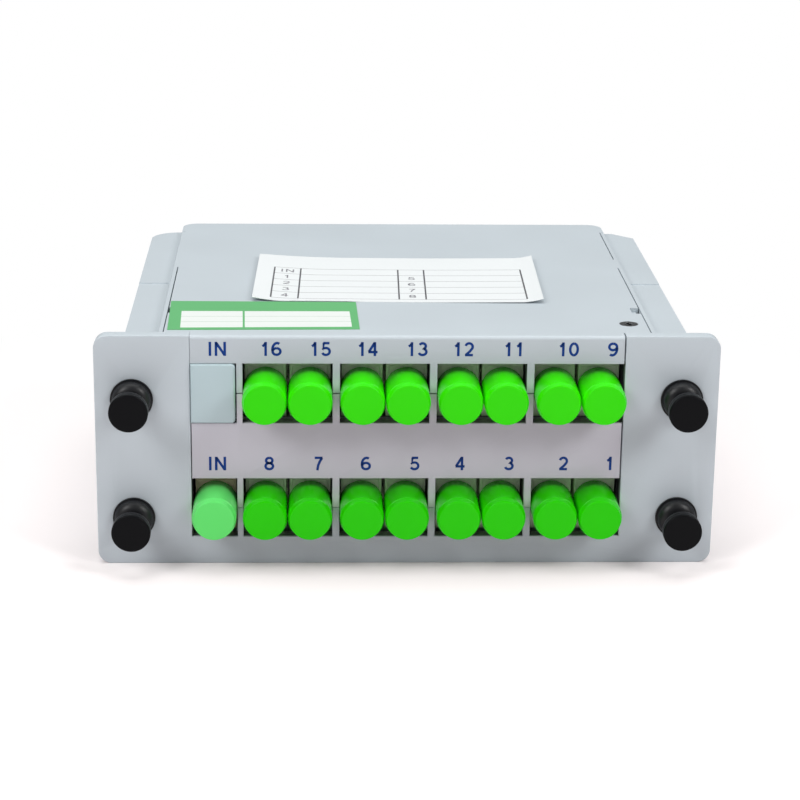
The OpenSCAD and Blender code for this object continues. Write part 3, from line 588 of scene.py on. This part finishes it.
def cap_plastic(name, colour):
    """Soft plastic whose bounced light is painted: a strong glow on what is close to it, and a paler colour
    further off.
    """
    material = moulded_plastic(name, colour, CAP_ROUGHNESS, tone=CAP_TONE, specular=CAP_SPECULAR)
    tree = material.node_tree
    shader = tree.nodes["Principled BSDF"]
    shown = shader.inputs["Base Color"].links[0].from_socket
    thrown = tree.nodes.new("ShaderNodeMix")
    thrown.data_type = "RGBA"
    path = tree.nodes.new("ShaderNodeLightPath")
    tree.links.new(path.outputs["Is Diffuse Ray"], thrown.inputs["Factor"])
    tree.links.new(shown, thrown.inputs["A"])
    reach = tree.nodes.new("ShaderNodeMapRange")
    reach.inputs["From Min"].default_value = CAP_GLOW_REACH[0] * MM
    reach.inputs["From Max"].default_value = CAP_GLOW_REACH[1] * MM
    tree.links.new(path.outputs["Ray Length"], reach.inputs["Value"])
    spread = tree.nodes.new("ShaderNodeMix")
    spread.data_type = "RGBA"
    spread.inputs["A"].default_value = (*CAP_GLOW, 1)
    spread.inputs["B"].default_value = (*CAP_BOUNCE, 1)
    tree.links.new(reach.outputs["Result"], spread.inputs["Factor"])
    tree.links.new(spread.outputs["Result"], thrown.inputs["B"])
    tree.links.new(thrown.outputs["Result"], shader.inputs["Base Color"])
    return material


cap_green = cap_plastic("cap_green", CAP_GREEN)
cap_green_shaded = cap_plastic("cap_green_shaded", CAP_GREEN_SHADED)
cap_pale = cap_plastic("cap_pale", CAP_PALE)
for key, (x, z) in port_places.items():
    cap = grown(
        "dust_cap_" + key,
        profile_mesh("cap_profile", cap_profile),
        turned_tree,
        turned_keys,
        {
            "Place": (x, 0, z - CAP_SAG * MM),
            "Gate Place": (GATE_PLACE[0] * MM, GATE_PLACE[1] * MM, -CAP_FRONT * MM),
            "Finish": cap_pale if key == "in" else cap_green if z > PORTS_MIDDLE_Z * MM else cap_green_shaded,
        },
    )
    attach(cap, "cap_" + key)
    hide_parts("cap_" + key)
    # The neck takes the adapters' colour, with the same painted green light.
    neck_place = bpy.data.meshes.new("neck_place")
    neck_place.from_pydata([(x, (ADAPTER_FACE_Y - NECK_OUT + NECK_SIZE[1] / 2) * MM, z)], [], [])
    neck = grown(
        "cap_neck_" + key,
        neck_place,
        rib_tree,
        rib_keys,
        {"Size": [s * MM for s in NECK_SIZE], "Finish": adapter_beige if key == "in" else adapter_grey},
    )
    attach(neck, "cap_" + key)


# Four push fasteners of black nylon lock the ears to the chassis. Each is a domed grommet with
# split legs, and a plunger with a pin, whose round knob stands pulled out in front of it.
KNOB_FRONT = -13.0
KNOB_R = 4.05
KNOB_T = 2.5
KNOB_EDGE_R = 0.4
KNOB_GROOVE = 1.2
KNOB_GROOVE_R = 0.08
KNOB_GATE_R = 0.35
KNOB_GATE_OUT = 0.02
PIN_R = 1.5
PIN_ROOT_R = 0.4
PIN_END = 4.5
PIN_TIP = (0.5, 0.6)
NYLON_TONE = 0.1
NYLON_DULL = (0.004, 0.0044, 0.0052)
DULL_ROUGHNESS = 0.36
DULL_SPECULAR = 0.08
NYLON_SATIN = (0.0065, 0.007, 0.0085)
SATIN_ROUGHNESS = 0.38
SATIN_SPECULAR = 0.35

nylon_dull = moulded_plastic(
    "nylon_dull", NYLON_DULL, DULL_ROUGHNESS, tone=NYLON_TONE, specular=DULL_SPECULAR
)
nylon_satin = moulded_plastic(
    "nylon_satin", NYLON_SATIN, SATIN_ROUGHNESS, tone=NYLON_TONE, specular=SATIN_SPECULAR
)
knob_profile = [(0, KNOB_FRONT), (KNOB_R / 2, KNOB_FRONT)]
knob_profile += quarter(KNOB_R - KNOB_EDGE_R, KNOB_FRONT + KNOB_EDGE_R, KNOB_EDGE_R, -90)
groove_y = KNOB_FRONT + KNOB_GROOVE
knob_profile += [(KNOB_R, groove_y), (KNOB_R - KNOB_GROOVE_R, groove_y + KNOB_GROOVE_R)]
knob_profile += [(KNOB_R, groove_y + 2 * KNOB_GROOVE_R)]
knob_profile += quarter(KNOB_R - KNOB_EDGE_R, KNOB_FRONT + KNOB_T - KNOB_EDGE_R, KNOB_EDGE_R, 0)
knob_profile += [(PIN_R + PIN_ROOT_R, KNOB_FRONT + KNOB_T), (PIN_R, KNOB_FRONT + KNOB_T + PIN_ROOT_R)]
knob_profile += [(PIN_R, PIN_END - PIN_TIP[1]), (PIN_R - PIN_TIP[0], PIN_END), (0, PIN_END)]
for n in range(1, 5):
    node = "plunger_%d" % n
    low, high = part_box(node)
    knob = grown(
        "knob_%d" % n,
        profile_mesh("knob_profile", knob_profile),
        turned_tree,
        turned_keys,
        {
            "Place": ((low[0] + high[0]) / 2, 0, (low[2] + high[2]) / 2),
            "Gate Place": (0, 0, -KNOB_FRONT * MM),
            "Gate Radius": KNOB_GATE_R * MM,
            "Gate Height": KNOB_GATE_OUT * MM,
            "Finish": nylon_dull,
        },
    )
    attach(knob, node)
    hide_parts(node)
    softened("grommet_%d" % n, nylon_satin, [])


# The cover is held by two small black cross-head screws, countersunk into it at its front corners.
# The left one is under the green label.
SCREW_BLACK = (0.13, 0.135, 0.14)
SCREW_ROUGHNESS = 0.18
SCREW_GRAIN_DEPTH = 0.000004
SCREW_EDGE_R = 0.12
SCREW_FACE_Z = PANEL_H - 0.01


def on_screw_face(a, b):
    """True for an edge that lies in the flat top of a screw's head."""
    return min(a.z, b.z) > SCREW_FACE_Z


screw_black = moulded_plastic("screw_black", SCREW_BLACK, SCREW_ROUGHNESS, depth=SCREW_GRAIN_DEPTH)
screw_black.node_tree.nodes["Principled BSDF"].inputs["Metallic"].default_value = 1.0
softened("cover_screws", screw_black, [(SCREW_EDGE_R, on_screw_face)])


# A white paper label lies askew on the cover. Its four corners have come loose and curl up, and its
# front edge rides over the green label. A table is printed on it: thick dark verticals, thin rows.
PAPER_MIDDLE = (-0.86, 43.95)
PAPER_TURN = radians(-1.25)
PAPER_W = 63.45
PAPER_L = 39.8
PAPER_T = 0.10
PAPER_STEPS = (96, 40)
PAPER_WHITE = (0.735, 0.765, 0.77)
PAPER_ROUGHNESS = 0.62
PAPER_GRAIN = 0.0004
PAPER_GRAIN_DEPTH = 0.000006
SHEET_GAP = 0.01
LEFT_CURL_U = (-23, 11)
LEFT_CURL = (0.92, 0.09)
LEFT_CURL_POWER = 1.8
RIGHT_CURL_U = 27
RIGHT_CURL = (0.75, 0.10)
RIGHT_SLACK_U = 5
RIGHT_SLACK = 0.30
RIGHT_SLACK_POWER = 1.3
OVERLAP_U = (-8, 3)
OVERLAP_V = 3.5
OVERLAP_LIFT = 0.13
INK_T = 0.012
INK_SUNK = 0.02
INK_DARK = (0.105, 0.105, 0.115)
INK_GREY = (0.34, 0.34, 0.35)
INK_ROUGHNESS = 0.55
INK_SPECULAR = 0.2
TABLE_ROWS = 5
RULE_DARK_X = (-27.77, -21.82, 0.33, 6.23, 28.33)
RULE_TOP = 8.66
RULE_PITCH = 5.26
RULE_W = 0.34
RULE_OVER = 0.003
ROW_W = 0.2


def paper_lift(u, v):
    """Height of the sheet over the cover, in mm, from the place on it."""
    near = v + PAPER_L / 2
    far = near / PAPER_L
    end = PAPER_W / 2
    start = LEFT_CURL_U[0] + LEFT_CURL_U[1] * far
    left = max(start - u, 0) / (start + end)
    bend = max(u - RIGHT_CURL_U, 0) / (end - RIGHT_CURL_U)
    right = max(u - RIGHT_SLACK_U, 0) / (end - RIGHT_SLACK_U)
    over = max(min((OVERLAP_U[0] - u) / OVERLAP_U[1], 1), 0) * max(1 - near / OVERLAP_V, 0)
    return (
        SHEET_GAP
        + (LEFT_CURL[0] - LEFT_CURL[1] * far) * left**LEFT_CURL_POWER
        + RIGHT_SLACK * right**RIGHT_SLACK_POWER
        + (RIGHT_CURL[0] - RIGHT_CURL[1] * far) * bend**2
        + OVERLAP_LIFT * over * (1 - min(left * 3, 1))
    )


def on_paper(u, v, height):
    """A point on the sheet, from its place along and across it and the height over it."""
    x = PAPER_MIDDLE[0] + u * cos(PAPER_TURN) - v * sin(PAPER_TURN)
    y = PAPER_MIDDLE[1] + u * sin(PAPER_TURN) + v * cos(PAPER_TURN)
    return (x * MM, y * MM, (PANEL_H + paper_lift(u, v) + height) * MM)


def laid_strip(carry, width, length, middle, low, high, columns, rows):
    """A thin closed slab laid on a surface: carry(u, v, height) gives a point of it."""
    points = []
    for height in (low, high):
        for j in range(rows + 1):
            for i in range(columns + 1):
                points.append(
                    carry(
                        middle[0] - width / 2 + width * i / columns,
                        middle[1] - length / 2 + length * j / rows,
                        height,
                    )
                )
    layer = (columns + 1) * (rows + 1)
    faces = []
    for j in range(rows):
        for i in range(columns):
            a = j * (columns + 1) + i
            b, c, d = a + 1, a + columns + 2, a + columns + 1
            faces += [(d, c, b, a), (a + layer, b + layer, c + layer, d + layer)]
    rim = list(range(columns + 1))
    rim += [(j + 1) * (columns + 1) + columns for j in range(rows)]
    rim += [rows * (columns + 1) + i for i in range(columns - 1, -1, -1)]
    rim += [j * (columns + 1) for j in range(rows - 1, 0, -1)]
    for a, b in zip(rim, rim[1:] + rim[:1]):
        faces.append((a, b, b + layer, a + layer))
    return points, faces


def laid_mesh(name, slabs, material, node=None):
    """One piece from a list of slabs of points and faces."""
    points, faces = [], []
    for some_points, some_faces in slabs:
        faces += [tuple(i + len(points) for i in f) for f in some_faces]
        points += some_points
    mesh = bpy.data.meshes.new(name)
    mesh.from_pydata(points, [], faces)
    mesh.materials.append(material)
    for p in mesh.polygons:
        p.use_smooth = False
    piece = bpy.data.objects.new(name, mesh)
    scene.collection.objects.link(piece)
    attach(piece, "case")
    if node:
        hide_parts(node)


paper_white = moulded_plastic(
    "paper_white", PAPER_WHITE, PAPER_ROUGHNESS, PAPER_GRAIN, PAPER_GRAIN_DEPTH, tone=0.015, specular=0.3
)
ink_dark = moulded_plastic("ink_dark", INK_DARK, INK_ROUGHNESS, specular=INK_SPECULAR)
ink_grey = moulded_plastic("ink_grey", INK_GREY, INK_ROUGHNESS, specular=INK_SPECULAR)
laid_mesh(
    "paper_sheet",
    [laid_strip(on_paper, PAPER_W, PAPER_L, (0, 0), 0, PAPER_T, *PAPER_STEPS)],
    paper_white,
    "paper_label",
)
table_w = RULE_DARK_X[-1] - RULE_DARK_X[0]
table_l = TABLE_ROWS * RULE_PITCH
table_middle = (RULE_DARK_X[-1] + RULE_DARK_X[0]) / 2
ink_low, ink_high = PAPER_T - INK_SUNK, PAPER_T + INK_T
rows = [
    laid_strip(on_paper, table_w, ROW_W, (table_middle, RULE_TOP - RULE_PITCH * i), ink_low, ink_high, 84, 1)
    for i in range(TABLE_ROWS + 1)
]
laid_mesh("paper_rows", rows, ink_grey)
rules = [
    laid_strip(on_paper, RULE_W, table_l, (u, RULE_TOP - table_l / 2), ink_low, ink_high + RULE_OVER, 1, 40)
    for u in RULE_DARK_X
]
laid_mesh("paper_rules", rules, ink_dark)


# A small green printed label lies flat in front of it, over the left screw and the left latch
# window. The white fields of its table are left empty.
GREEN_CORNERS = ((-49.95, 1.5), (-10.0, 2.15), (-10.45, 23.95), (-50.45, 24.5))
GREEN_FIELD = ((-47.35, 3.0), (-11.6, 3.85), (-11.95, 16.1), (-47.75, 16.1))
GREEN_T = 0.12
FIELD_COLUMNS = ((0.1815, 0.363), (0.6875, 0.625))
FIELD_SUNK = 0.03
FIELD_ROWS = (0.345, 0.67)
FIELD_ROW_W = 0.012
LABEL_GREEN = (0.12, 0.44, 0.165)
FIELD_WHITE = (0.76, 0.80, 0.77)
ROW_GREEN = (0.40, 0.55, 0.43)


def between(corners, u, v):
    """A place in a four-cornered field, with u and v from 0 to 1."""
    near = [corners[0][i] * (1 - u) + corners[1][i] * u for i in (0, 1)]
    far = [corners[3][i] * (1 - u) + corners[2][i] * u for i in (0, 1)]
    return [near[i] * (1 - v) + far[i] * v for i in (0, 1)]


def on_label(corners):
    """Gives the function that carries a place in a four-cornered field to a point on the cover."""

    def carry(u, v, height):
        x, y = between(corners, u, v)
        return (x * MM, y * MM, (PANEL_H + height) * MM)

    return carry


label_green = moulded_plastic("label_green", LABEL_GREEN, 0.42, tone=0.05, specular=0.35)
field_white = moulded_plastic("field_white", FIELD_WHITE, 0.45, tone=0.015, specular=0.35)
laid_mesh(
    "green_sheet",
    [laid_strip(on_label(GREEN_CORNERS), 1, 1, (0.5, 0.5), 0.0, GREEN_T, 8, 4)],
    label_green,
    "green_label",
)
field = on_label(GREEN_FIELD)
laid_mesh(
    "green_fields",
    [
        laid_strip(field, width, 1, (middle, 0.5), GREEN_T - FIELD_SUNK, GREEN_T + INK_T, 4, 2)
        for middle, width in FIELD_COLUMNS
    ],
    field_white,
)
laid_mesh(
    "green_rows",
    [
        laid_strip(field, width, FIELD_ROW_W, (middle, v), GREEN_T, GREEN_T + 2 * INK_T, 2, 1)
        for middle, width in FIELD_COLUMNS
        for v in FIELD_ROWS
    ],
    moulded_plastic("row_green", ROW_GREEN, 0.5, specular=INK_SPECULAR),
)


# The port numbers and the word IN are printed in dark blue on the cover's lip and on the shelf's
# bar. A stroke is a thin flat band of ink, and the letters stand a little unevenly, as printed.
PRINT_BLUE = (0.001, 0.038, 0.22)
PRINT_H = 3.0
STROKE = 0.54
DIGIT_SPREAD = (-1.24, 1.1)
WORD_SPREAD = (-1.52, 0.62)
ROW_HIGH_Z = 47.24
ROW_LOW_Z = 22.27
PRINT_HIGH = (
    ("IN", -39.44), ("16", -28.38), ("15", -18.17), ("14", -8.42), ("13", 1.82), ("12", 11.43),
    ("11", 21.94), ("10", 33.21), ("9", 42.46),
)
PRINT_LOW = (
    ("IN", -39.67), ("8", -28.87), ("7", -18.57), ("6", -8.64), ("5", 1.59), ("4", 11.2),
    ("3", 21.44), ("2", 32.91), ("1", 42.72),
)


def arc(x, y, rx, ry, start, end, steps=14):
    """Part of an ellipse, in units of the letters' height of three."""
    turns = [radians(start + (end - start) * i / steps) for i in range(steps + 1)]
    return [(x + rx * cos(a), y + ry * sin(a)) for a in turns]


GLYPHS = {
    "0": [arc(0, 1.5, 0.78, 1.26, 90, 450, 28)],
    "1": [[(-0.55, 2.08), (-0.2, 2.3), (0.08, 2.72)], [(0.12, 0), (0.12, 3)]],
    "2": [arc(0, 2.02, 0.74, 0.75, 165, -35) + [(0.1, 0.95), (-0.7, 0.25)], [(-0.84, 0.24), (0.82, 0.24)]],
    "3": [arc(-0.02, 2.15, 0.66, 0.61, 155, -80) + arc(-0.02, 0.93, 0.8, 0.69, 75, -160)],
    "4": [[(0.36, 0), (0.36, 3)], [(0.3, 2.84), (-0.88, 0.9)], [(-1.0, 0.86), (0.92, 0.86)]],
    "5": [
        [(0.74, 2.76), (-0.56, 2.76)],
        [(-0.44, 2.8), (-0.6, 1.42)] + arc(-0.02, 0.98, 0.8, 0.75, 140, -155),
    ],
    "6": [arc(0.02, 0.95, 0.8, 0.7, 90, 450, 24), arc(0.14, 1.35, 0.96, 1.41, 60, 190)],
    "7": [[(-0.8, 2.76), (0.86, 2.76)], [(0.74, 2.74), (0.3, 2.0), (-0.06, 1.1), (-0.24, 0)]],
    "8": [arc(0, 2.17, 0.66, 0.59, 90, 450, 24), arc(0, 0.92, 0.78, 0.67, 90, 450, 24)],
    "9": [arc(-0.02, 2.05, 0.8, 0.7, 90, 450, 24), arc(-0.14, 1.65, 0.96, 1.41, -120, 10)],
    "I": [[(0, 0), (0, 3)]],
    "N": [[(-0.9, 0), (-0.9, 3)], [(-0.86, 2.82), (0.86, 0.18)], [(0.9, 0), (0.9, 3)]],
}


def word_strokes(word, x, height):
    """The strokes of a number or of the word IN about x, in mm, with the foot at 0."""
    spread = WORD_SPREAD if word == "IN" else DIGIT_SPREAD if len(word) == 2 else (0,)
    size = height / PRINT_H
    strokes = []
    for letter, off in zip(word, spread):
        for line in GLYPHS[letter]:
            strokes.append([(x + (off + px) * size, py * size) for px, py in line])
    return strokes


def strokes_mesh(name, strokes):
    """The strokes as chains of edges, lying flat."""
    mesh = bpy.data.meshes.new(name)
    points, edges = [], []
    for line in strokes:
        edges += [(len(points) + i, len(points) + i + 1) for i in range(len(line) - 1)]
        points += [(px * MM, py * MM, 0) for px, py in line]
    mesh.from_pydata(points, edges, [])
    return mesh


ink_tree = bpy.data.node_groups.new("ink_strokes", "GeometryNodeTree")
ink_keys = tree_inputs(
    ink_tree,
    [
        ("Strokes", "NodeSocketGeometry", None),
        ("Stroke Width", "NodeSocketFloat", STROKE * MM),
        ("Ink Thickness", "NodeSocketFloat", 2 * INK_T * MM),
        ("Turn", "NodeSocketRotation", None),
        ("Place", "NodeSocketVector", (0, 0, 0)),
        ("Finish", "NodeSocketMaterial", None),
    ],
)
link = ink_tree.links.new
add = ink_tree.nodes.new
given = add("NodeGroupInput")
lines = add("GeometryNodeMeshToCurve")
link(given.outputs["Strokes"], lines.inputs["Mesh"])
level = add("GeometryNodeSetCurveNormal")
level.mode = "Z_UP"
link(lines.outputs["Curve"], level.inputs["Curve"])
section = add("GeometryNodeCurvePrimitiveQuadrilateral")
link(given.outputs["Stroke Width"], section.inputs["Width"])
link(given.outputs["Ink Thickness"], section.inputs["Height"])
band = add("GeometryNodeCurveToMesh")
band.inputs["Fill Caps"].default_value = True
link(level.outputs["Curve"], band.inputs["Curve"])
link(section.outputs["Curve"], band.inputs["Profile Curve"])
stand = add("GeometryNodeTransform")
link(band.outputs["Mesh"], stand.inputs["Geometry"])
link(given.outputs["Turn"], stand.inputs["Rotation"])
link(given.outputs["Place"], stand.inputs["Translation"])
flat_faces = add("GeometryNodeSetShadeSmooth")
flat_faces.inputs["Shade Smooth"].default_value = False
link(stand.outputs["Geometry"], flat_faces.inputs["Geometry"])
finish_tree(ink_tree, given, flat_faces.outputs["Geometry"])

print_blue = moulded_plastic("print_blue", PRINT_BLUE, 0.5, tone=0.05, specular=0.25)
for name, words, foot in (
    ("print_high", PRINT_HIGH, ROW_HIGH_Z - PRINT_H / 2),
    ("print_low", PRINT_LOW, ROW_LOW_Z - PRINT_H / 2),
):
    strokes = [s for word, x in words for s in word_strokes(word, x, PRINT_H)]
    numbers = grown(
        name,
        strokes_mesh(name, strokes),
        ink_tree,
        ink_keys,
        {"Turn": (pi / 2, 0, 0), "Place": (0, PANEL_Y * MM, foot * MM), "Finish": print_blue},
    )
    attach(numbers, "case")


# The rows of the paper label's table carry the same numbers, smaller and in grey ink. They are
# made flat and then bent onto the sheet.
CELL_PRINT_H = 2.5
CELL_STROKE = 0.34
CELL_WORDS = ((-24.77, ("IN", "1", "2", "3", "4")), (3.28, ("", "5", "6", "7", "8")))
CELL_INK = (0.22, 0.22, 0.24)

cell_strokes = []
for u, words in CELL_WORDS:
    for i, word in enumerate(words):
        foot = RULE_TOP - RULE_PITCH * (i + 0.5) - CELL_PRINT_H / 2
        for line in word_strokes(word, u, CELL_PRINT_H):
            cell_strokes.append([(px, py + foot) for px, py in line])
cells = grown(
    "paper_numbers",
    strokes_mesh("paper_numbers", cell_strokes),
    ink_tree,
    ink_keys,
    {
        "Stroke Width": CELL_STROKE * MM,
        "Finish": moulded_plastic("ink_number", CELL_INK, INK_ROUGHNESS, specular=INK_SPECULAR),
    },
)
for v in cells.data.vertices:
    v.co = on_paper(v.co.x / MM, v.co.y / MM, PAPER_T + v.co.z / MM)
cells.data.update()
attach(cells, "case")
